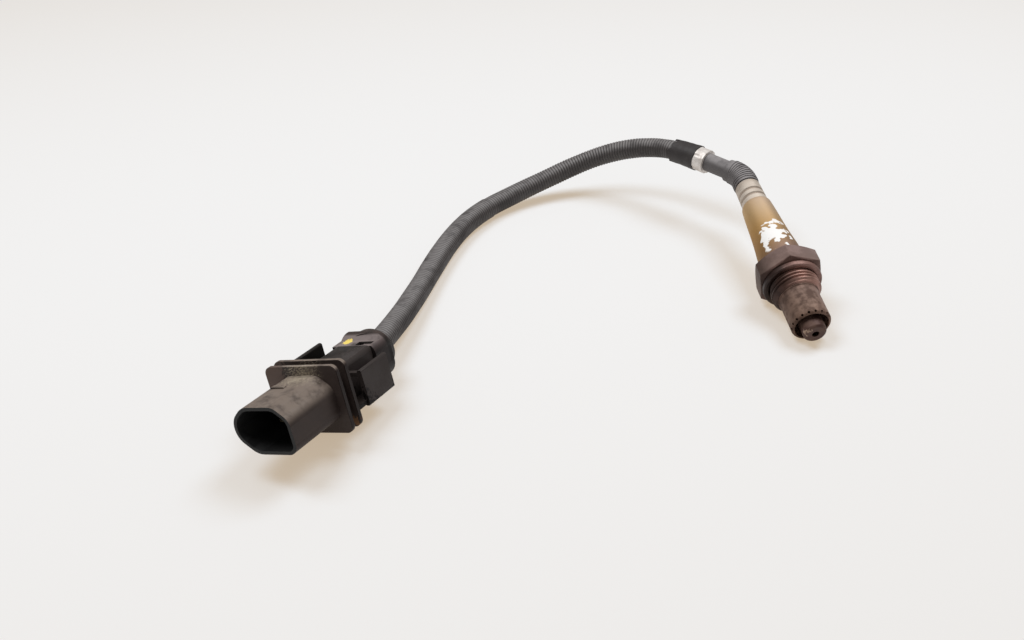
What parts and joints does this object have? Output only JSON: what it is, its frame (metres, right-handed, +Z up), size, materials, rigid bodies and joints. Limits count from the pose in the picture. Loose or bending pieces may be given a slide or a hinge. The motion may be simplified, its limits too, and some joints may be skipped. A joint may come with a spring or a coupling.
{
  "type": "oxygen sensor",
  "caption": "Wideband exhaust oxygen sensor: hexagon body with threaded shank, perforated protection tube, heat-tinted sleeve, ribbed boot, flexible hose and keyed plug with twin flanges.",
  "frame": {"origin": "on the surface that the sensor lies on, under the middle of the head from its nose to the tail of its ribbed boot", "axes": "+Z up; the head lies along Y with its nose towards -Y and dipped by 13.2 degrees; the hose leaves to -X and +Y and comes round to the plug at -X"},
  "size_m": [0.2059, 0.1822, 0.0317],
  "materials": {
    "sensor_body": "heat-darkened bare steel",
    "sealing_ring": "sooty folded steel ring",
    "tube": "grey-brown scale",
    "inner_tube": "sooty steel",
    "ceramic": "fired ceramic",
    "insulator": "ceramic chip",
    "talc": "pressed talc",
    "sleeve": "straw and brown heat tint",
    "contact": "plated blades",
    "crimp": "bright rolled steel",
    "membrane": "sintered white film",
    "rubber": "soft silicone mat",
    "boot": "smooth dark grey rubber",
    "lead": "thin insulation",
    "hose": "fine-ribbed dark conduit, taped towards the head",
    "band": "worn white band",
    "wrap": "shrunk dark sleeve",
    "housing": "moulded plastic under dust",
    "carrier": "moulded plastic",
    "cap": "moulded plastic under dust"
  },
  "bodies": {
    "root": {"sensor_body": "sensor_body", "sealing_ring": "sealing_ring", "outer_protection_tube": "tube", "inner_protection_tube": "inner_tube", "ceramic_element": "ceramic", "lower_insulator": "insulator", "powder_seal": "talc", "upper_insulator": "insulator", "protective_sleeve": "sleeve", "contact_holder": "insulator", "contact_springs": "contact", "crimp_sleeve": "crimp", "vent_membrane": "membrane", "cable_grommet": "rubber", "cable_boot": "boot", "boot_tail": "boot", "sensor_leads": "lead", "hose": "hose", "marking_band": "band", "hose_end_wrap": "wrap", "plug_housing": "housing", "contact_carrier": "carrier", "contact_pins": "contact", "pin_lock": "carrier", "trim_resistor": "insulator", "wire_seal": "rubber", "plug_leads": "lead", "rear_cap": "cap", "hose_collar": "carrier"}
  },
  "joints": []
}
